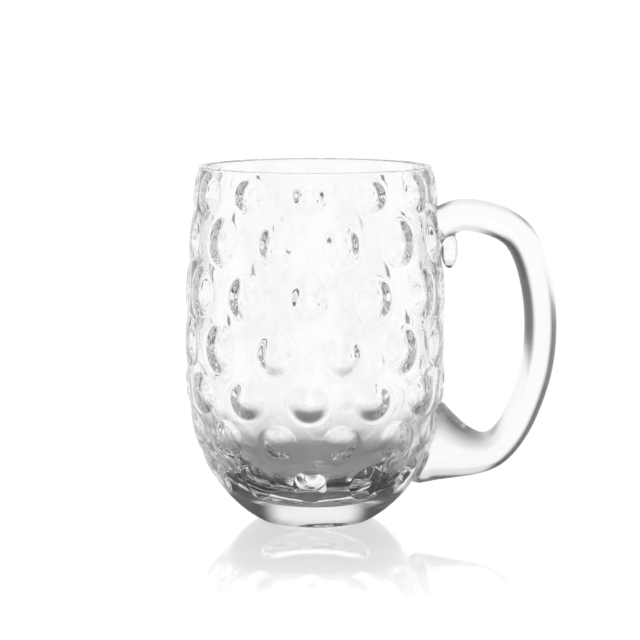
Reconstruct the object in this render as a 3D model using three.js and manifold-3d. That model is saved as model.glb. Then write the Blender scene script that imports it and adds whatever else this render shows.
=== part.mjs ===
// Hand-blown glass beer mug: a barrel-shaped bowl covered with oval hobnails, and one applied handle.
// Millimetres, +Z up. The origin is the centre of the flat base, and the handle points along +X.
import * as THREE from 'three';
import { mergeGeometries, mergeVertices } from 'three/addons/utils/BufferGeometryUtils.js';
import Module from 'manifold-3d';

const wasm = await Module();
wasm.setup();

// Bowl
const HEIGHT = 130; // table to the top of the rim
const BELLY_RADIUS = 47.1; // outside of the wall at its widest, between hobnails
const BELLY_HEIGHT = 64.5; // where the wall is widest
const RIM_RADIUS = 42.2; // outside of the wall at the rim
const BASE_RADIUS = 20; // flat disc that the mug stands on
const FOOT_FULLNESS = 2.65; // 2 makes the curve from base to belly an ellipse, more makes it squarer
const RIM_THICKNESS = 2.8; // wall at the fire-polished rim
const HEEL_THICKNESS = 10; // wall at the lowest row of hobnails, square to it
const HEEL_TAPER = 4; // 1 thins the wall evenly from there to the rim, more thins it sooner
const FLOOR_THICKNESS = 13; // solid glass under the drink

// Hobnails: oval bulges in staggered rows, counted from the base up
const HOBNAIL_COLUMNS = 12; // in every row
const HOBNAIL_PROUD = 0.7; // height above the outside of the wall
const HOBNAIL_HOLLOW = 2; // depth of the hollow behind one, where the wall is thin
const HOBNAIL_GAP = 8.6; // clear wall between two neighbours in a row
const ROW_GAP = 0.4; // clear wall between two rows
const LOWEST_ROW = 19.5; // along the wall, from the edge of the base to the lowest row
const SHORT_ROWS = 3; // rows below the belly
const SHORT_PITCH = 15.8; // height of one of them along the wall
const TALL_ROWS = 3; // rows above them, which share the wall that is left
const RIM_ROW_PITCH = 14.3; // height of the one row under the rim
const CELL_INTERLOCK = 0.2; // how far the cells of two rows reach into each other, as a share of the lowest pitch

// Handle: one gather of glass, drawn into a loop. Heights and reaches are those of its middle line.
const UPPER_JOINT_HEIGHT = 107.6;
const SHOULDER_HEIGHT = 112.2; // top of the loop
const SHOULDER_REACH = 53.6; // from the bowl's axis
const BEND_HEIGHT = 106.1; // where the loop turns down
const BEND_REACH = 72.4;
const GRIP_HEIGHT = 85.2; // upper end of the grip
const GRIP_REACH = 81;
const ELBOW_HEIGHT = 51.6; // lower end of the grip
const ELBOW_REACH = 79.7;
const HEEL_HEIGHT = 25.9; // bottom of the loop
const HEEL_REACH = 64.5;
const LOWER_JOINT_HEIGHT = 29.5;
const GRIP_THICKNESS = 11.9; // in the plane of the loop
const GRIP_WIDTH = 15; // across that plane
const ROOT_THICKNESS = 31.5; // at the lower joint, where the gather was stuck on first
const ROOT_WIDTH = 22;
const ROOT_LENGTH = 34; // run over which the root narrows to the grip
const ROOT_TAPER = 2.2; // 1 makes the root a cone, more hollows its sides
const JOINT_CLEARANCE = 0.3; // between the bowl and the ends of the handle

// Tail: the drop of glass left hanging where the upper end was pressed on
const TAIL_LENGTH = 14;
const TAIL_WIDTH = 10;
const TAIL_DEPTH = 6.2; // out from the wall
const TAIL_DROP = 8; // its middle, below the upper joint

// Fineness of the facets
const EDGE_STEPS = 2; // on each of the six sides of a hobnail's cell
const DOME_RINGS = 2; // from the top of a hobnail to its foot
const FOOT_STEPS = 5; // from the base to the lowest row
const LIP_STEPS = 4;
const FLOOR_STEPS = 6; // from the lowest row inside to the middle of the floor
const LOOP_STEPS = 34;
const SECTION_STEPS = 18;
const TRACE_STEPS = 600; // fine trace of the wall, for measuring along it
const WELD = 1e-4; // points closer than this are one

const GLASS = { color: 0xe9edee, roughness: 0.03, metalness: 0, transparent: true, opacity: 0.45 };

// Boolean helpers

function toSolid(geometry) {
	const bare = geometry.clone();
	bare.deleteAttribute('normal');
	bare.deleteAttribute('uv');
	const merged = mergeVertices(bare, WELD);
	return new wasm.Manifold(new wasm.Mesh({
		numProp: 3,
		vertProperties: new Float32Array(merged.attributes.position.array),
		triVerts: new Uint32Array(merged.index.array),
	}));
}

function toGeometry(solid) {
	const mesh = solid.getMesh();
	const geometry = new THREE.BufferGeometry();
	geometry.setAttribute('position', new THREE.BufferAttribute(new Float32Array(mesh.vertProperties), 3));
	geometry.setIndex(new THREE.BufferAttribute(new Uint32Array(mesh.triVerts), 1));
	geometry.computeVertexNormals();
	return geometry;
}

// Outside of the wall: an arc from belly to rim, and a full curve from belly to base

const footDepth = BELLY_HEIGHT / (1 - (BASE_RADIUS / BELLY_RADIUS) ** 2) ** (1 / FOOT_FULLNESS);
const lipRadius = RIM_THICKNESS / 2;
const lipTilt = Math.atan(2 * (BELLY_RADIUS - RIM_RADIUS) / (HEIGHT - BELLY_HEIGHT)); // lean of the wall there
const lipHeight = HEIGHT - lipRadius * (1 - Math.sin(lipTilt)); // where the outside starts to turn over

function wallRadius(z) {
	if (z >= BELLY_HEIGHT) {
		const rise = (z - BELLY_HEIGHT) / (HEIGHT - BELLY_HEIGHT);
		return BELLY_RADIUS - (BELLY_RADIUS - RIM_RADIUS) * rise ** 2;
	}
	const drop = (BELLY_HEIGHT - z) / footDepth;
	return BELLY_RADIUS * Math.sqrt(1 - drop ** FOOT_FULLNESS);
}

// The same outline measured along the wall, from the edge of the base to the lip
const trace = [{ along: 0, point: new THREE.Vector2(wallRadius(0), 0) }];
for (let i = 1; i <= TRACE_STEPS; i++) {
	const z = lipHeight * (i / TRACE_STEPS) ** 2; // finer near the base, where the wall lies flat
	const point = new THREE.Vector2(wallRadius(z), z);
	trace.push({ along: trace[i - 1].along + point.distanceTo(trace[i - 1].point), point });
}
const wallLength = trace[TRACE_STEPS].along;

// A point of the outline, moved square off the wall by a given height
function wallAt(along, height) {
	const found = trace.findIndex((mark) => mark.along >= along);
	const i = found < 0 ? TRACE_STEPS : Math.max(1, found);
	const [low, high] = [trace[i - 1], trace[i]];
	const tangent = high.point.clone().sub(low.point).normalize();
	return low.point.clone()
		.lerp(high.point, (along - low.along) / (high.along - low.along))
		.add(new THREE.Vector2(tangent.y, -tangent.x).multiplyScalar(height));
}

// Inside of the wall, which thickens from the rim to the lowest row of hobnails

// 0 at the rim, 1 at the lowest row
function thickening(along) {
	return Math.max(0, (wallLength - along) / (wallLength - LOWEST_ROW)) ** HEEL_TAPER;
}

// The point behind a point of the outside, with a hollow of a given depth taken out of the glass
function cupAt(along, hollow) {
	const thickness = RIM_THICKNESS + (HEEL_THICKNESS - RIM_THICKNESS) * thickening(along);
	return wallAt(along, hollow - thickness);
}

// Bottom of the cup: it leaves the wall along its slope, at the lowest row, and ends level on the axis
function floorOutline() {
	const edge = cupAt(LOWEST_ROW, 0);
	const slope = cupAt(LOWEST_ROW + interlock, 0).sub(edge);
	const run = (edge.y - FLOOR_THICKNESS) * slope.x / slope.y;
	const corner = new THREE.Vector2(edge.x - run, FLOOR_THICKNESS);
	const middle = new THREE.Vector2(0, FLOOR_THICKNESS);
	return new THREE.QuadraticBezierCurve(edge, corner, middle).getPoints(FLOOR_STEPS);
}

// Half round from the outside of the wall to the inside
function lipOutline() {
	const outer = wallAt(wallLength, 0);
	const inner = cupAt(wallLength, 0);
	const centre = outer.clone().lerp(inner, 0.5);
	const over = Array.from({ length: LIP_STEPS - 1 }, (_, i) =>
		outer.clone().rotateAround(centre, Math.PI * (i + 1) / LIP_STEPS));
	return [outer, ...over, inner];
}

// Pattern of hobnails: each sits in a six-sided cell, and the cells of two rows interlock

const columnAngle = 2 * Math.PI / HOBNAIL_COLUMNS;
const turnSteps = 2 * EDGE_STEPS * HOBNAIL_COLUMNS;
const tallPitch = (wallLength - LOWEST_ROW - SHORT_ROWS * SHORT_PITCH - RIM_ROW_PITCH) / TALL_ROWS;
const rowPitches = [
	...Array(SHORT_ROWS).fill(SHORT_PITCH),
	...Array(TALL_ROWS).fill(tallPitch),
	RIM_ROW_PITCH,
];
const rowStarts = rowPitches.map((_, row) =>
	rowPitches.slice(0, row).reduce((along, pitch) => along + pitch, LOWEST_ROW));
const interlock = CELL_INTERLOCK * Math.min(...rowPitches);

// Edge of a cell as offsets from its middle, x round the bowl and y along the wall
function cellEdge(row) {
	const half = rowPitches[row] / 2;
	const foot = row > 0 ? interlock : 0;
	const head = row < rowPitches.length - 1 ? interlock : 0;
	const side = columnAngle / 2;
	const corners = [
		[side, foot - half], [side, half - head], [0, half + head],
		[-side, half - head], [-side, foot - half], [0, -half - foot],
	].map(([x, y]) => new THREE.Vector2(x, y));
	return corners.flatMap((corner, i) => Array.from({ length: EDGE_STEPS }, (_, step) =>
		corner.clone().lerp(corners[(i + 1) % corners.length], step / EDGE_STEPS)));
}

const rowMiddle = (row) => rowStarts[row] + rowPitches[row] / 2;

// A hobnail's dome, or the hollow behind it, and the bare glass round it, bent onto one side of the wall
function hobnailCell(row, column, edge, domeHeight, surfaceAt) {
	const middle = rowMiddle(row);
	const halfHeight = (rowPitches[row] - ROW_GAP) / 2;
	const halfAngle = (columnAngle - HOBNAIL_GAP / wallAt(middle, 0).x) / 2;
	const turn = (column + (row % 2) / 2) * columnAngle;
	const patch = new THREE.RingGeometry(0, 1, edge.length, DOME_RINGS + 1);
	const position = patch.attributes.position;
	for (let i = 0; i < position.count; i++) {
		const ring = Math.floor(i / (edge.length + 1));
		const outward = edge[i % (edge.length + 1) % edge.length];
		const onDome = ring <= DOME_RINGS;
		const share = onDome ? ring / DOME_RINGS : 1;
		const reach = onDome ? share / Math.hypot(outward.x / halfAngle, outward.y / halfHeight) : 1;
		const point = surfaceAt(middle + outward.y * reach, domeHeight * (1 - share ** 2));
		const angle = turn + outward.x * reach;
		position.setXYZ(i, point.x * Math.cos(angle), point.x * Math.sin(angle), point.y);
	}
	return patch;
}

function hobnailRows(domeHeightOf, surfaceAt, facingAxis) {
	return rowPitches.flatMap((_, row) => {
		const edge = cellEdge(row);
		if (facingAxis) edge.reverse();
		return Array.from({ length: HOBNAIL_COLUMNS }, (_, column) =>
			hobnailCell(row, column, edge, domeHeightOf(row), surfaceAt));
	});
}

// A revolved band with its axis stood up along Z
function revolve(points) {
	const band = new THREE.LatheGeometry(points, turnSteps);
	const position = band.attributes.position;
	for (let i = 0; i < position.count; i++) {
		position.setXYZ(i, position.getZ(i), position.getX(i), position.getY(i));
	}
	return band;
}

// Outside of the bowl from the middle of the base to the lip, moved outward by an offset
function outside(offset) {
	const foot = Array.from({ length: FOOT_STEPS + 1 }, (_, i) => wallAt(LOWEST_ROW * i / FOOT_STEPS, offset));
	const offsetWallAt = (along, height) => wallAt(along, offset + height);
	return [
		revolve([new THREE.Vector2(0, foot[0].y), ...foot]),
		...hobnailRows(() => HOBNAIL_PROUD, offsetWallAt, false),
	];
}

// The thicker the wall, the shallower the hollows behind its hobnails
function inside() {
	const hollowOf = (row) => HOBNAIL_HOLLOW * (1 - thickening(rowMiddle(row)));
	return [...hobnailRows(hollowOf, cupAt, true), revolve(floorOutline())];
}

function bowl() {
	return toSolid(mergeGeometries([...outside(0), revolve(lipOutline()), ...inside()]));
}

// What the handle has to stay clear of: the bowl without its cup, grown by the clearance
function bowlEnvelope() {
	const top = wallAt(wallLength, JOINT_CLEARANCE);
	return toSolid(mergeGeometries([...outside(JOINT_CLEARANCE), revolve([top, new THREE.Vector2(0, top.y)])]));
}

// Handle

const upperJoint = new THREE.Vector3(wallRadius(UPPER_JOINT_HEIGHT), 0, UPPER_JOINT_HEIGHT);
const lowerJoint = new THREE.Vector3(wallRadius(LOWER_JOINT_HEIGHT), 0, LOWER_JOINT_HEIGHT);
const heel = new THREE.Vector3(HEEL_REACH, 0, HEEL_HEIGHT);
const buriedRun = ROOT_THICKNESS / 2; // the root runs on inside the bowl until its foot is covered
const buriedEnd = lowerJoint.clone().sub(heel).setLength(buriedRun).add(lowerJoint);

const loopLine = new THREE.CatmullRomCurve3([
	upperJoint.clone().setX(upperJoint.x - RIM_THICKNESS),
	new THREE.Vector3(SHOULDER_REACH, 0, SHOULDER_HEIGHT),
	new THREE.Vector3(BEND_REACH, 0, BEND_HEIGHT),
	new THREE.Vector3(GRIP_REACH, 0, GRIP_HEIGHT),
	new THREE.Vector3(ELBOW_REACH, 0, ELBOW_HEIGHT),
	heel,
	buriedEnd,
], false, 'centripetal');

// A closed skin through oval sections set square to the middle line
function loft(curve, thicknessAt, widthAt) {
	const positions = [];
	const indices = [];
	const across = new THREE.Vector3(0, 1, 0);
	const length = curve.getLength();
	for (let i = 0; i <= LOOP_STEPS; i++) {
		const share = i / LOOP_STEPS;
		const middle = curve.getPointAt(share);
		const outward = new THREE.Vector3().crossVectors(curve.getTangentAt(share), across);
		const toJoint = length * (1 - share) - buriedRun;
		for (let j = 0; j < SECTION_STEPS; j++) {
			const angle = 2 * Math.PI * j / SECTION_STEPS;
			const point = middle.clone()
				.addScaledVector(outward, Math.cos(angle) * thicknessAt(toJoint) / 2)
				.addScaledVector(across, Math.sin(angle) * widthAt(toJoint) / 2);
			positions.push(point.x, point.y, point.z);
		}
	}
	for (let i = 0; i < LOOP_STEPS; i++) {
		for (let j = 0; j < SECTION_STEPS; j++) {
			const a = i * SECTION_STEPS + j;
			const b = i * SECTION_STEPS + (j + 1) % SECTION_STEPS;
			indices.push(a, a + SECTION_STEPS, b, b, a + SECTION_STEPS, b + SECTION_STEPS);
		}
	}
	const last = LOOP_STEPS * SECTION_STEPS;
	for (let j = 1; j < SECTION_STEPS - 1; j++) {
		indices.push(0, j, j + 1, last, last + j + 1, last + j);
	}
	const geometry = new THREE.BufferGeometry();
	geometry.setAttribute('position', new THREE.Float32BufferAttribute(positions, 3));
	geometry.setIndex(indices);
	return geometry;
}

function flare(grip, root) {
	return (toJoint) => {
		const share = THREE.MathUtils.clamp(1 - toJoint / ROOT_LENGTH, 0, 1);
		return grip + (root - grip) * share ** ROOT_TAPER;
	};
}

function tail() {
	const drop = new THREE.SphereGeometry(1, SECTION_STEPS, SECTION_STEPS / 2);
	drop.scale(TAIL_DEPTH / 2, TAIL_LENGTH / 2, TAIL_WIDTH / 2).rotateX(Math.PI / 2);
	const height = UPPER_JOINT_HEIGHT - TAIL_DROP;
	return toSolid(drop.translate(wallRadius(height) + TAIL_DEPTH / 2, 0, height));
}

function handle() {
	const loop = loft(loopLine, flare(GRIP_THICKNESS, ROOT_THICKNESS), flare(GRIP_WIDTH, ROOT_WIDTH));
	return toSolid(loop).add(tail()).subtract(bowlEnvelope());
}

function part(name, solid) {
	const mesh = new THREE.Mesh(toGeometry(solid), new THREE.MeshStandardMaterial(GLASS));
	mesh.name = name;
	return mesh;
}

const mug = new THREE.Group();
mug.add(part('bowl', bowl()), part('handle', handle()));

export default mug;
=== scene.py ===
"""Looks of a hand-blown glass beer mug: hobnailed bowl, applied handle, white studio floor."""
import math

import bmesh
import bpy
import numpy as np
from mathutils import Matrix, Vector


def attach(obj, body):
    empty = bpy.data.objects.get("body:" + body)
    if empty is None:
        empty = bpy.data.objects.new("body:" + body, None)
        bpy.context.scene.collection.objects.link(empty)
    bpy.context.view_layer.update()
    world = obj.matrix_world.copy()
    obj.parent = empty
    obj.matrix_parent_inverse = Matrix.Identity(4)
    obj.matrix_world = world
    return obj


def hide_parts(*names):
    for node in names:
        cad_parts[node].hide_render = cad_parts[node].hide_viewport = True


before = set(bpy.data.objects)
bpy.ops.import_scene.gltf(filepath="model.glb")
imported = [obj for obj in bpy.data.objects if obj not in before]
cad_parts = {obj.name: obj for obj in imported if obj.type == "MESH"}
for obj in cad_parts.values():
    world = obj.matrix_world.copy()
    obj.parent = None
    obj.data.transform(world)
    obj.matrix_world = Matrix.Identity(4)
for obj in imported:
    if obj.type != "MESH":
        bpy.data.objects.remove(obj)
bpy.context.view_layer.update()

MM = 0.001

# Bowl: the sizes of the solids, with a flatter lip and a rounded base
HEIGHT = 130 * MM
BELLY_RADIUS = 47.1 * MM
BELLY_HEIGHT = 64.5 * MM
RIM_RADIUS = 42.2 * MM
BASE_RADIUS = 20 * MM
FOOT_FULLNESS = 2.65
RIM_THICKNESS = 2.8 * MM
LIP_POWER = 4  # 2 makes the lip half round, more flattens its top
HEEL_THICKNESS = 10 * MM  # square to the wall, at the lowest row of hobnails
HEEL_TAPER = 4
FLOOR_THICKNESS = 13 * MM
BASE_EDGE = 1.2 * MM  # rounding between the flat base and the wall

# Hobnails, blown out of the wall: proud outside, hollow inside where the glass is thin
HOBNAIL_COLUMNS = 12
HOBNAIL_PROUD = 0.7 * MM
HOBNAIL_HOLLOW = 2.5 * MM  # a little deeper than in the solids
HOBNAIL_GAP = 8.6 * MM
DOME_POWER = 3  # 2 makes a dome a parabola, more flattens its top and steepens its foot
HOLLOW_POWER = 1.4  # 1 makes a hollow a cosine, more widens its bottom
HOBNAIL_FILLET = 0.05  # bend round the foot of a dome, as a share of its half width
ROW_GAP = 0.4 * MM
LOWEST_ROW = 19.5 * MM
SHORT_ROWS = 3
SHORT_PITCH = 15.8 * MM
TALL_ROWS = 3
RIM_ROW_PITCH = 14.3 * MM
CELL_INTERLOCK = 0.2  # how far the cells of two rows reach into each other, as a share of the lowest pitch

# Handle: middle line as reach and height, then its sections
UPPER_JOINT_HEIGHT = 107.6 * MM
SHOULDER = (53.6 * MM, 112.2 * MM)
BEND = (72.4 * MM, 106.1 * MM)
GRIP = (81 * MM, 85.2 * MM)
ELBOW = (79.7 * MM, 51.6 * MM)
HEEL = (64.5 * MM, 25.9 * MM)
LOWER_JOINT_HEIGHT = 29.5 * MM
GRIP_THICKNESS = 11.9 * MM
GRIP_WIDTH = 15 * MM
ROOT_THICKNESS = 31.5 * MM
ROOT_WIDTH = 22 * MM
ROOT_LENGTH = 34 * MM
ROOT_TAPER = 2.2
JOINT_OVERLAP = 0.3 * MM  # the ends reach into the wall, as fused glass does
TAIL_LENGTH = 14 * MM
TAIL_WIDTH = 10 * MM
TAIL_DEPTH = 6.2 * MM
TAIL_DROP = 8 * MM
BALL_RADIUS = 0.5  # of a ball that is 1 across, which the sizes of the tail then stretch

# Fineness
EDGE_STEPS = 6  # on each of the six sides of a hobnail's cell
DOME_SHARES = (0.0, 0.2, 0.4, 0.56, 0.69, 0.79, 0.87, 0.92, 0.96, 1.0)  # rings of a dome
BEND_SHARES = (0.5, 1.0)  # rings in the bend outside its foot
FILLET_ROOM = 0.7  # most of the way from the foot to the edge of the cell that the bend may take
FOOT_STEPS = 24
LIP_STEPS = 12
FLOOR_STEPS = 24
TRACE_STEPS = 4000
CORE_STEPS = 200
CURVE_STEPS = 200  # between two points of the handle's middle line
LOOP_STEPS = 150
SECTION_STEPS = 48
FUSE_VOXEL = 0.45 * MM
FUSE_SMOOTHING = 14
FUSE_STRENGTH = 0.5
SHARP_ANGLE = math.radians(50)
WELD = 0.001 * MM

# Camera, from the perspective of the photograph
CAMERA_DISTANCE = 800 * MM
CAMERA_HEIGHT = 182.9 * MM
CAMERA_ASIDE = 1.7 * MM
CAMERA_PITCH = math.radians(7.796)
CAMERA_TURN = math.radians(2.75)
CAMERA_LENS = 124.02
CAMERA_SENSOR = 36
CAMERA_NEAR = 10 * MM

# Glass
GLASS_IOR = 1.5
BOWL_ROUGHNESS = 0
HANDLE_ROUGHNESS = 0.15
BOWL_WAVE_SCALE, BOWL_WAVE_DEPTH = 90, 0.02 * MM
HANDLE_WAVE_SCALE, HANDLE_WAVE_DEPTH = 60, 0.03 * MM
WAVE_DETAIL = 2
WHITE = (1, 1, 1, 1)

# Studio: a pair of values is where a change starts and ends, on the floor in metres from the axis
FLOOR_SIZE = 6.0
FLOOR_GREY = (0.8, 0.8, 0.8, 1)
FLOOR_GAP = 0.2 * MM  # air under the flat base, which keeps it a mirror from inside
FLOOR_WHITE = 0.95  # glow that the camera sees, beside the light that falls on the floor
PAINTED_SHADE_GLOW = 0.02  # painted shade: glow that glass shows of the floor under the mug, painted dark there
FLOOR_GLOW = 0.55  # and of the floor round it
# where the painted shade under the mug gives way to the floor's glow
PAINTED_SHADE_STARTS, PAINTED_SHADE_ENDS = 0.03, 0.1
FLOOR_OPEN = 0.93  # how much of the lower half of the studio glass shows, away from the mug
OPEN_STARTS, OPEN_ENDS = 0.05, 0.15
FLOOR_POLISH = 0.42  # strength of the reflection at the foot of the mug
FLOOR_ROUGHNESS = 0.04
REFLECTION_STARTS, REFLECTION_ENDS = 0.03, 0.17
STUDIO_BRIGHT = 1.0
STUDIO_DARK = 0.03
STUDIO_CARD = 0.08
STUDIO_CARDS = 4  # round the object, with gaps in front of it, behind it and beside it
CARD_STARTS, CARD_ENDS = 0.6, -0.2  # of a wave from 1 in the middle of a gap to -1 in the middle of a card
HEM_STARTS, HEM_ENDS = -0.16, -0.23  # lower edge of the cards, as the upward share of a direction
TOP_STARTS, TOP_ENDS = 0.26, 0.42  # and the upper edge of the bright walls
STUDIO_LAMP = 0.8  # in the ceiling, in front of the object and behind it
LAMP_STARTS, LAMP_ENDS = 0.15, 0.35  # sideways share of a direction
ZENITH_STARTS, ZENITH_ENDS = 0.8, 0.92  # upward share of a direction, where the lamps end
LOWER_HALF = 0.65  # below the horizon the studio is mirrored, and its heights count for this share
BOUNCES = 64


# Outline of the bowl

LIP_RADIUS = RIM_THICKNESS / 2
LIP_TILT = math.atan(2 * (BELLY_RADIUS - RIM_RADIUS) / (HEIGHT - BELLY_HEIGHT))
LIP_HEIGHT = HEIGHT - LIP_RADIUS * (1 - math.sin(LIP_TILT))
FOOT_DEPTH = BELLY_HEIGHT / (1 - (BASE_RADIUS / BELLY_RADIUS) ** 2) ** (1 / FOOT_FULLNESS)


def wall_radius(z):
    rise = (z - BELLY_HEIGHT) / (HEIGHT - BELLY_HEIGHT)
    above = BELLY_RADIUS - (BELLY_RADIUS - RIM_RADIUS) * rise ** 2
    drop = np.clip((BELLY_HEIGHT - z) / FOOT_DEPTH, 0, 1)
    below = BELLY_RADIUS * np.sqrt(1 - drop ** FOOT_FULLNESS)
    return np.where(z >= BELLY_HEIGHT, above, below)


trace_z = LIP_HEIGHT * np.linspace(0, 1, TRACE_STEPS) ** 2
trace_r = wall_radius(trace_z)
trace_along = np.concatenate([[0], np.cumsum(np.hypot(np.diff(trace_r), np.diff(trace_z)))])
WALL_LENGTH = trace_along[-1]


def wall_at(along, height):
    """Radius and z of points on the outside of the wall, moved square off it by a height."""
    z = np.interp(along, trace_along, trace_z)
    step = LIP_HEIGHT / TRACE_STEPS
    slope = (wall_radius(z + step) - wall_radius(z - step)) / (2 * step)
    length = np.hypot(1, slope)
    return wall_radius(z) + height / length, z - height * slope / length


def thickening(along):
    """0 at the rim to 1 at the lowest row of hobnails, which is the heel of the wall."""
    return np.maximum(0, (WALL_LENGTH - along) / (WALL_LENGTH - LOWEST_ROW)) ** HEEL_TAPER


def cup_at(along, hollow):
    """Points on the inside, behind those of the outside, with a hollow taken out of the glass."""
    thickness = RIM_THICKNESS + (HEEL_THICKNESS - RIM_THICKNESS) * thickening(along)
    return wall_at(along, hollow - thickness)


# Pattern of hobnails

COLUMN_ANGLE = 2 * math.pi / HOBNAIL_COLUMNS
TURN_STEPS = 2 * EDGE_STEPS * HOBNAIL_COLUMNS
TALL_PITCH = (WALL_LENGTH - LOWEST_ROW - SHORT_ROWS * SHORT_PITCH - RIM_ROW_PITCH) / TALL_ROWS
ROW_PITCHES = [SHORT_PITCH] * SHORT_ROWS + [TALL_PITCH] * TALL_ROWS + [RIM_ROW_PITCH]
ROW_STARTS = [LOWEST_ROW + sum(ROW_PITCHES[:row]) for row in range(len(ROW_PITCHES))]
INTERLOCK = CELL_INTERLOCK * min(ROW_PITCHES)


def dome(share):
    """Height of a hobnail at a share of its half width: a flattened dome that runs out in a hollow fillet."""
    start, end = 1 - HOBNAIL_FILLET, 1 + HOBNAIL_FILLET
    # Gives both arcs one slope where they meet
    curve = DOME_POWER / 2 * start ** (DOME_POWER - 1) / (end - start)
    step = curve * (end - start) ** 2
    top = start ** DOME_POWER - share ** DOME_POWER + step
    foot = curve * np.maximum(0, end - share) ** 2
    return np.where(share < start, top, foot) / (start ** DOME_POWER + step)


def hollow(share):
    """Depth behind a hobnail at a share of its half width: the blown inside is softer than the outside."""
    return (1 + np.cos(math.pi * np.minimum(share, 1) ** HOLLOW_POWER)) / 2


def cell_edge(row):
    """Edge of a six-sided cell as offsets from its middle: angle round the bowl, length along the wall."""
    half = ROW_PITCHES[row] / 2
    foot = INTERLOCK if row > 0 else 0
    head = INTERLOCK if row < len(ROW_PITCHES) - 1 else 0
    side = COLUMN_ANGLE / 2
    corners = np.array([
        (side, foot - half), (side, half - head), (0, half + head),
        (-side, half - head), (-side, foot - half), (0, -half - foot),
    ])
    steps = np.linspace(0, 1, EDGE_STEPS, endpoint=False)[None, :, None]
    following = np.roll(corners, -1, axis=0)
    return (corners[:, None] * (1 - steps) + following[:, None] * steps).reshape(-1, 2)


def hobnail_cell(row, column, height, profile, surface_at):
    """Rings of points from the top of one dome to the edge of its cell, shaped (rings, spokes, 3)."""
    edge = cell_edge(row)
    middle = ROW_STARTS[row] + ROW_PITCHES[row] / 2
    half_height = (ROW_PITCHES[row] - ROW_GAP) / 2
    half_angle = (COLUMN_ANGLE - HOBNAIL_GAP / wall_at(middle, 0)[0]) / 2
    to_foot = 1 / np.hypot(edge[:, 0] / half_angle, edge[:, 1] / half_height)
    bend = np.minimum(HOBNAIL_FILLET * to_foot, FILLET_ROOM * (1 - to_foot))
    inside = np.array(DOME_SHARES)[:, None] * to_foot
    outside = to_foot + np.array(BEND_SHARES)[:, None] * bend
    reach = np.concatenate([inside, outside, np.ones((1, len(edge)))])
    along = middle + reach * edge[:, 1]
    rise = height * profile(reach / to_foot)
    rise[-1] = 0
    radius, z = surface_at(along, rise)
    angle = (column + (row % 2) / 2) * COLUMN_ANGLE + reach * edge[:, 0]
    return np.stack([radius * np.cos(angle), radius * np.sin(angle), z], axis=-1)


class Skin:
    """Collects patches of one closed surface and welds them."""

    def __init__(self):
        self.bm = bmesh.new()

    def grid(self, rings):
        """Joins closed rings of points into bands. A ring that is a single point closes a fan."""
        rows = []
        for ring in rings:
            points = ring[:1] if np.ptp(ring, axis=0).max() < WELD else ring
            rows.append([self.bm.verts.new(point) for point in points])
        for low, high in zip(rows, rows[1:]):
            count = max(len(low), len(high))
            for i in range(count):
                j = (i + 1) % count
                corners = [low[i % len(low)], low[j % len(low)], high[j % len(high)], high[i % len(high)]]
                self.bm.faces.new(list(dict.fromkeys(corners)))

    def revolve(self, radii, heights):
        angles = np.arange(TURN_STEPS) * (2 * math.pi / TURN_STEPS)
        self.grid([
            np.stack([r * np.cos(angles), r * np.sin(angles), np.full(TURN_STEPS, z)], axis=-1)
            for r, z in zip(radii, heights)
        ])

    def finish(self, name):
        bmesh.ops.remove_doubles(self.bm, verts=self.bm.verts, dist=WELD)
        bmesh.ops.recalc_face_normals(self.bm, faces=self.bm.faces)
        open_edges = sum(not edge.is_manifold for edge in self.bm.edges)
        if open_edges:
            raise ValueError(f"{name} has {open_edges} open edges")
        return add_mesh(name, self.bm)


def add_mesh(name, bm):
    mesh = bpy.data.meshes.new(name)
    bm.to_mesh(mesh)
    bm.free()
    mesh.shade_smooth()
    obj = bpy.data.objects.new(name, mesh)
    bpy.context.scene.collection.objects.link(obj)
    return obj


def bezier(start, corner, end, turn):
    """Radii and heights along a curve that leaves one point and meets another towards their corner."""
    t = turn[:, None]
    points = (1 - t) ** 2 * start + 2 * t * (1 - t) * corner + t ** 2 * end
    return points[:, 0], points[:, 1]


def base_outline():
    """From the middle of the flat base, round its edge, to the lowest row of hobnails."""
    along = np.linspace(BASE_EDGE, LOWEST_ROW, FOOT_STEPS)
    wall_r, wall_z = wall_at(along, 0)
    start = np.array([BASE_RADIUS - BASE_EDGE, 0.0])
    corner = np.array([BASE_RADIUS, 0.0])
    end = np.array([wall_r[0], wall_z[0]])
    bend_r, bend_z = bezier(start, corner, end, np.linspace(0, 1, LIP_STEPS)[:-1])
    flat = np.linspace(0, start[0], LIP_STEPS)[:-1]
    radii = np.concatenate([flat, bend_r, wall_r])
    heights = np.concatenate([np.zeros(len(flat)), bend_z, wall_z])
    return radii, heights


def lip_outline():
    """From the outside to the inside of the wall, over a flat lip with rounded edges."""
    outer = np.array(wall_at(WALL_LENGTH, 0))
    inner = np.array(cup_at(WALL_LENGTH, 0))
    middle = (outer + inner) / 2
    across = outer - middle
    upward = np.array([-across[1], across[0]])
    angles = np.linspace(0, math.pi, LIP_STEPS)[:, None]
    aside = np.sign(np.cos(angles)) * np.abs(np.cos(angles)) ** (2 / LIP_POWER)
    rise = np.sin(angles) ** (2 / LIP_POWER)
    points = middle + aside * across + rise * upward
    return points[:, 0], points[:, 1]


def floor_outline():
    """Bottom of the cup, which leaves the wall along its slope and ends level on the axis."""
    radius, height = cup_at(np.array([LOWEST_ROW, LOWEST_ROW + WALL_LENGTH / TRACE_STEPS]), 0)
    steepness = np.diff(height)[0] / np.diff(radius)[0]
    start = np.array([radius[0], height[0]])
    corner = np.array([radius[0] - (height[0] - FLOOR_THICKNESS) / steepness, FLOOR_THICKNESS])
    end = np.array([0, FLOOR_THICKNESS])
    return bezier(start, corner, end, np.linspace(0, 1, FLOOR_STEPS))


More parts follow.
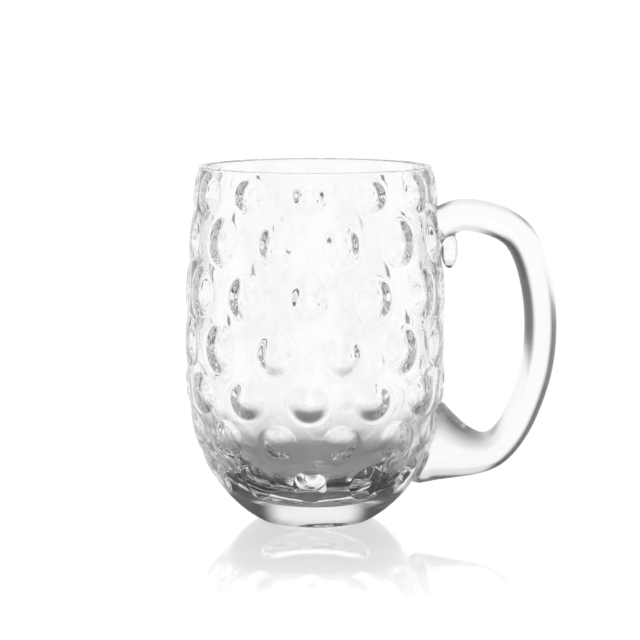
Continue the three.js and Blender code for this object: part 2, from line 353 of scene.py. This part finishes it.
def make_bowl():
    skin = Skin()
    skin.revolve(*base_outline())
    skin.revolve(*lip_outline())
    skin.revolve(*floor_outline())
    for row, (start, pitch) in enumerate(zip(ROW_STARTS, ROW_PITCHES)):
        depth = HOBNAIL_HOLLOW * (1 - thickening(start + pitch / 2))
        for column in range(HOBNAIL_COLUMNS):
            skin.grid(hobnail_cell(row, column, HOBNAIL_PROUD, dome, wall_at))
            skin.grid(hobnail_cell(row, column, depth, hollow, cup_at))
    return skin.finish("mug_bowl")


# Handle

def middle_line():
    """Points along the loop, evenly spaced, and the run from each of them to the lower joint."""
    upper = np.array([wall_radius(UPPER_JOINT_HEIGHT) - RIM_THICKNESS, UPPER_JOINT_HEIGHT])
    lower = np.array([wall_radius(LOWER_JOINT_HEIGHT), LOWER_JOINT_HEIGHT])
    inward = lower - np.array(HEEL)
    buried = ROOT_THICKNESS / 2
    end = lower + inward / np.linalg.norm(inward) * buried
    fine = catmull_rom(np.array([upper, SHOULDER, BEND, GRIP, ELBOW, HEEL, end]))
    run = np.concatenate([[0], np.cumsum(np.linalg.norm(np.diff(fine, axis=0), axis=1))])
    even = np.linspace(0, run[-1], LOOP_STEPS)
    points = np.stack([np.interp(even, run, fine[:, k]) for k in range(2)], axis=-1)
    return points, run[-1] - even - buried


def catmull_rom(points):
    """Centripetal Catmull-Rom curve through the points, with its ends drawn on in a straight line."""
    ends = [2 * points[0] - points[1], *points, 2 * points[-1] - points[-2]]
    curve = []
    for p0, p1, p2, p3 in zip(ends, ends[1:], ends[2:], ends[3:]):
        t0 = 0
        t1 = t0 + np.sqrt(np.linalg.norm(p1 - p0))
        t2 = t1 + np.sqrt(np.linalg.norm(p2 - p1))
        t3 = t2 + np.sqrt(np.linalg.norm(p3 - p2))
        t = np.linspace(t1, t2, CURVE_STEPS, endpoint=False)[:, None]
        a1 = (t1 - t) / (t1 - t0) * p0 + (t - t0) / (t1 - t0) * p1
        a2 = (t2 - t) / (t2 - t1) * p1 + (t - t1) / (t2 - t1) * p2
        a3 = (t3 - t) / (t3 - t2) * p2 + (t - t2) / (t3 - t2) * p3
        b1 = (t2 - t) / (t2 - t0) * a1 + (t - t0) / (t2 - t0) * a2
        b2 = (t3 - t) / (t3 - t1) * a2 + (t - t1) / (t3 - t1) * a3
        curve.extend((t2 - t) / (t2 - t1) * b1 + (t - t1) / (t2 - t1) * b2)
    return np.array([*curve, points[-1]])


def flare(to_joint, grip, root):
    return grip + (root - grip) * np.clip(1 - to_joint / ROOT_LENGTH, 0, 1) ** ROOT_TAPER


def make_loop():
    line, to_joint = middle_line()
    tangent = np.gradient(line, axis=0)
    tangent /= np.linalg.norm(tangent, axis=1)[:, None]
    half_thick = flare(to_joint, GRIP_THICKNESS, ROOT_THICKNESS) / 2
    half_wide = flare(to_joint, GRIP_WIDTH, ROOT_WIDTH) / 2
    angles = np.arange(SECTION_STEPS) * (2 * math.pi / SECTION_STEPS)
    rings = []
    for (x, z), (tx, tz), thick, wide in zip(line, tangent, half_thick, half_wide):
        out = np.cos(angles) * thick
        rings.append(np.stack([x - out * tz, np.sin(angles) * wide, z + out * tx], axis=-1))
    closed = [np.repeat(ring.mean(axis=0)[None], SECTION_STEPS, axis=0) for ring in (rings[0], rings[-1])]
    skin = Skin()
    skin.grid([closed[0], *rings, closed[1]])
    return skin.finish("mug_handle")


def make_tail():
    bm = bmesh.new()
    around, down = SECTION_STEPS, SECTION_STEPS // 2
    bmesh.ops.create_uvsphere(bm, u_segments=around, v_segments=down, radius=BALL_RADIUS)
    bmesh.ops.scale(bm, vec=(TAIL_DEPTH, TAIL_WIDTH, TAIL_LENGTH), verts=bm.verts)
    z = UPPER_JOINT_HEIGHT - TAIL_DROP
    x = wall_radius(z) + TAIL_DEPTH / 2
    bmesh.ops.translate(bm, vec=(x, 0, z), verts=bm.verts)
    return add_mesh("tail", bm)


def make_core():
    """The bowl without hobnails or cup, a little smaller: what the ends of the handle are cut to."""
    along = np.linspace(0, WALL_LENGTH, CORE_STEPS)
    radii, heights = wall_at(along, -JOINT_OVERLAP)
    skin = Skin()
    skin.revolve([0, *radii, 0], [heights[0], *heights, heights[-1]])
    return skin.finish("core")


def apply_modifier(obj, kind, **settings):
    modifier = obj.modifiers.new(kind.lower(), kind)
    for key, value in settings.items():
        setattr(modifier, key, value)
    bpy.context.view_layer.update()
    evaluated = obj.evaluated_get(bpy.context.evaluated_depsgraph_get())
    mesh = bpy.data.meshes.new_from_object(evaluated)
    obj.modifiers.clear()
    old = obj.data
    obj.data = mesh
    bpy.data.meshes.remove(old)


def make_handle():
    """The loop and its tail melted into one skin, and cut to the wall of the bowl."""
    loop, tail, core = make_loop(), make_tail(), make_core()
    apply_modifier(loop, "BOOLEAN", object=tail, operation="UNION", solver="EXACT")
    apply_modifier(loop, "REMESH", mode="VOXEL", voxel_size=FUSE_VOXEL)
    apply_modifier(loop, "SMOOTH", factor=FUSE_STRENGTH, iterations=FUSE_SMOOTHING)
    apply_modifier(loop, "BOOLEAN", object=core, operation="DIFFERENCE", solver="EXACT")
    for helper in (tail, core):
        bpy.data.objects.remove(helper)
    loop.data.shade_smooth()
    loop.data.set_sharp_from_angle(angle=SHARP_ANGLE)
    return loop


# Materials

def new_material(name):
    material = bpy.data.materials.new(name)
    material.use_nodes = True
    tree = material.node_tree
    return material, tree, tree.nodes["Principled BSDF"]


def glass(name, roughness, wave_scale, wave_depth):
    """Clear glass whose surface has the faint waves of hand work."""
    material, tree, shader = new_material(name)
    shader.inputs["Base Color"].default_value = WHITE
    shader.inputs["IOR"].default_value = GLASS_IOR
    shader.inputs["Transmission Weight"].default_value = 1
    shader.inputs["Roughness"].default_value = roughness
    waves = tree.nodes.new("ShaderNodeTexNoise")
    waves.inputs["Scale"].default_value = wave_scale
    waves.inputs["Detail"].default_value = WAVE_DETAIL
    place = tree.nodes.new("ShaderNodeTexCoord")
    tree.links.new(place.outputs["Object"], waves.inputs["Vector"])
    bump = tree.nodes.new("ShaderNodeBump")
    bump.inputs["Distance"].default_value = wave_depth
    tree.links.new(waves.outputs["Fac"], bump.inputs["Height"])
    tree.links.new(bump.outputs["Normal"], shader.inputs["Normal"])
    return material


def floor_material():
    """White for the camera, with the mug's soft shadow and a reflection that fades.

    Through glass it shows painted shade, dark under the mug, and away from the mug the lower half of the
    studio shows.
    """
    material, tree, shader = new_material("studio_floor")
    shader.inputs["Base Color"].default_value = FLOOR_GREY
    shader.inputs["Specular IOR Level"].default_value = 0
    shader.inputs["Emission Color"].default_value = WHITE
    place = tree.nodes.new("ShaderNodeTexCoord")
    distance = tree.nodes.new("ShaderNodeVectorMath")
    distance.operation = "LENGTH"
    tree.links.new(place.outputs["Object"], distance.inputs[0])
    path = tree.nodes.new("ShaderNodeLightPath")
    seen = path.outputs["Is Camera Ray"]
    hidden = math_node(tree, "SUBTRACT", 1, seen)
    # Painted shade: seen through glass, the floor's glow is painted dark under the mug and rises to the glow
    # round it
    clear = smooth_step(tree, distance.outputs["Value"], PAINTED_SHADE_STARTS, PAINTED_SHADE_ENDS)
    glow = math_node(tree, "MULTIPLY_ADD", clear, FLOOR_GLOW - PAINTED_SHADE_GLOW, PAINTED_SHADE_GLOW)
    direct = math_node(tree, "MULTIPLY", seen, FLOOR_WHITE)
    tree.links.new(math_node(tree, "MULTIPLY_ADD", hidden, glow, direct), shader.inputs["Emission Strength"])
    gloss = tree.nodes.new("ShaderNodeBsdfGlossy")
    gloss.inputs["Color"].default_value = WHITE
    gloss.inputs["Roughness"].default_value = FLOOR_ROUGHNESS
    fading = smooth_step(tree, distance.outputs["Value"], REFLECTION_ENDS, REFLECTION_STARTS)
    polish = math_node(tree, "MULTIPLY", math_node(tree, "MULTIPLY", fading, FLOOR_POLISH), seen)
    top = mix_shader(tree, polish, shader.outputs["BSDF"], gloss.outputs["BSDF"])
    away = smooth_step(tree, distance.outputs["Value"], OPEN_STARTS, OPEN_ENDS)
    share = math_node(tree, "MULTIPLY", math_node(tree, "MULTIPLY", away, FLOOR_OPEN), hidden)
    gap = tree.nodes.new("ShaderNodeBsdfTransparent")
    whole = mix_shader(tree, share, top, gap.outputs["BSDF"])
    tree.links.new(whole, tree.nodes["Material Output"].inputs["Surface"])
    return material


def mix_shader(tree, share, first, second):
    mix = tree.nodes.new("ShaderNodeMixShader")
    for socket, value in zip(mix.inputs, (share, first, second)):
        tree.links.new(value, socket)
    return mix.outputs["Shader"]


def math_node(tree, operation, *values):
    node = tree.nodes.new("ShaderNodeMath")
    node.operation = operation
    for socket, value in zip(node.inputs, values):
        if isinstance(value, bpy.types.NodeSocket):
            tree.links.new(value, socket)
        else:
            socket.default_value = value
    return node.outputs[0]


def smooth_step(tree, value, start, end):
    node = tree.nodes.new("ShaderNodeMapRange")
    node.interpolation_type = "SMOOTHSTEP"
    node.inputs["From Min"].default_value = start
    node.inputs["From Max"].default_value = end
    tree.links.new(value, node.inputs["Value"])
    return node.outputs["Result"]


# Studio

def add_camera():
    camera = bpy.data.cameras.new("camera")
    camera.lens = CAMERA_LENS
    camera.sensor_width = CAMERA_SENSOR
    camera.clip_start = CAMERA_NEAR
    obj = bpy.data.objects.new("camera", camera)
    back = Vector((math.sin(CAMERA_TURN), -math.cos(CAMERA_TURN), 0)) * CAMERA_DISTANCE
    aside = Vector((math.cos(CAMERA_TURN), math.sin(CAMERA_TURN), 0)) * CAMERA_ASIDE
    obj.location = back + aside + Vector((0, 0, CAMERA_HEIGHT))
    obj.rotation_euler = (math.pi / 2 - CAMERA_PITCH, 0, CAMERA_TURN)
    bpy.context.scene.collection.objects.link(obj)
    bpy.context.scene.camera = obj


def add_floor():
    bm = bmesh.new()
    bmesh.ops.create_grid(bm, x_segments=1, y_segments=1, size=FLOOR_SIZE / 2)
    floor = add_mesh("studio_floor", bm)
    floor.location.z = -FLOOR_GAP
    floor.data.materials.append(floor_material())


def add_world():
    """White for the camera and in reflections.

    Through glass: bright walls with dark cards, and a dark ceiling with lamps in front and behind.
    """
    world = bpy.data.worlds.new("studio")
    world.use_nodes = True
    bpy.context.scene.world = world
    tree = world.node_tree
    background = tree.nodes["Background"]
    place = tree.nodes.new("ShaderNodeTexCoord")
    parts = tree.nodes.new("ShaderNodeSeparateXYZ")
    tree.links.new(place.outputs["Generated"], parts.inputs["Vector"])
    azimuth = math_node(tree, "ARCTAN2", parts.outputs["Y"], parts.outputs["X"])
    turned = math_node(tree, "SUBTRACT", azimuth, CAMERA_TURN + math.pi / 2)
    stripes = math_node(tree, "COSINE", math_node(tree, "MULTIPLY", turned, STUDIO_CARDS))
    hung = smooth_step(tree, parts.outputs["Z"], HEM_ENDS, HEM_STARTS)
    card = math_node(tree, "MULTIPLY", smooth_step(tree, stripes, CARD_STARTS, CARD_ENDS), hung)
    wall = math_node(tree, "MULTIPLY_ADD", card, STUDIO_CARD - STUDIO_BRIGHT, STUDIO_BRIGHT)
    mirrored = math_node(tree, "MULTIPLY", parts.outputs["Z"], -LOWER_HALF)
    height = math_node(tree, "MAXIMUM", parts.outputs["Z"], mirrored)
    above = smooth_step(tree, height, TOP_STARTS, TOP_ENDS)
    below = math_node(tree, "MULTIPLY", wall, math_node(tree, "SUBTRACT", 1, above))
    depth = math_node(tree, "MULTIPLY", parts.outputs["Y"], math.sin(CAMERA_TURN))
    sideways = math_node(tree, "MULTIPLY_ADD", parts.outputs["X"], math.cos(CAMERA_TURN), depth)
    near = smooth_step(tree, math_node(tree, "ABSOLUTE", sideways), LAMP_ENDS, LAMP_STARTS)
    low = smooth_step(tree, height, ZENITH_ENDS, ZENITH_STARTS)
    lamp = math_node(tree, "MULTIPLY", near, low)
    ceiling = math_node(tree, "MULTIPLY_ADD", lamp, STUDIO_LAMP, STUDIO_DARK)
    room = math_node(tree, "MULTIPLY_ADD", above, ceiling, below)
    path = tree.nodes.new("ShaderNodeLightPath")
    glossy, through = path.outputs["Is Glossy Ray"], path.outputs["Is Transmission Ray"]
    reflected = math_node(tree, "SUBTRACT", glossy, through)
    white = math_node(tree, "MAXIMUM", path.outputs["Is Camera Ray"], reflected)
    seen = math_node(tree, "MAXIMUM", room, white)
    tree.links.new(seen, background.inputs["Strength"])
    background.inputs["Color"].default_value = WHITE


def set_render():
    scene = bpy.context.scene
    scene.view_settings.view_transform = "Standard"
    scene.cycles.max_bounces = BOUNCES
    scene.cycles.transmission_bounces = BOUNCES
    scene.cycles.glossy_bounces = BOUNCES
    scene.cycles.use_denoising = True


def main():
    bowl = make_bowl()
    bowl_glass = glass("bowl_glass", BOWL_ROUGHNESS, BOWL_WAVE_SCALE, BOWL_WAVE_DEPTH)
    bowl.data.materials.append(bowl_glass)
    handle = make_handle()
    handle.data.materials.clear()
    handle_glass = glass("handle_glass", HANDLE_ROUGHNESS, HANDLE_WAVE_SCALE, HANDLE_WAVE_DEPTH)
    handle.data.materials.append(handle_glass)
    for piece, node, slot in ((bowl, "bowl", "bowl_glass"), (handle, "handle", "handle_glass")):
        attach(piece, "root")
        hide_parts(node)
    add_camera()
    add_floor()
    add_world()
    set_render()


main()
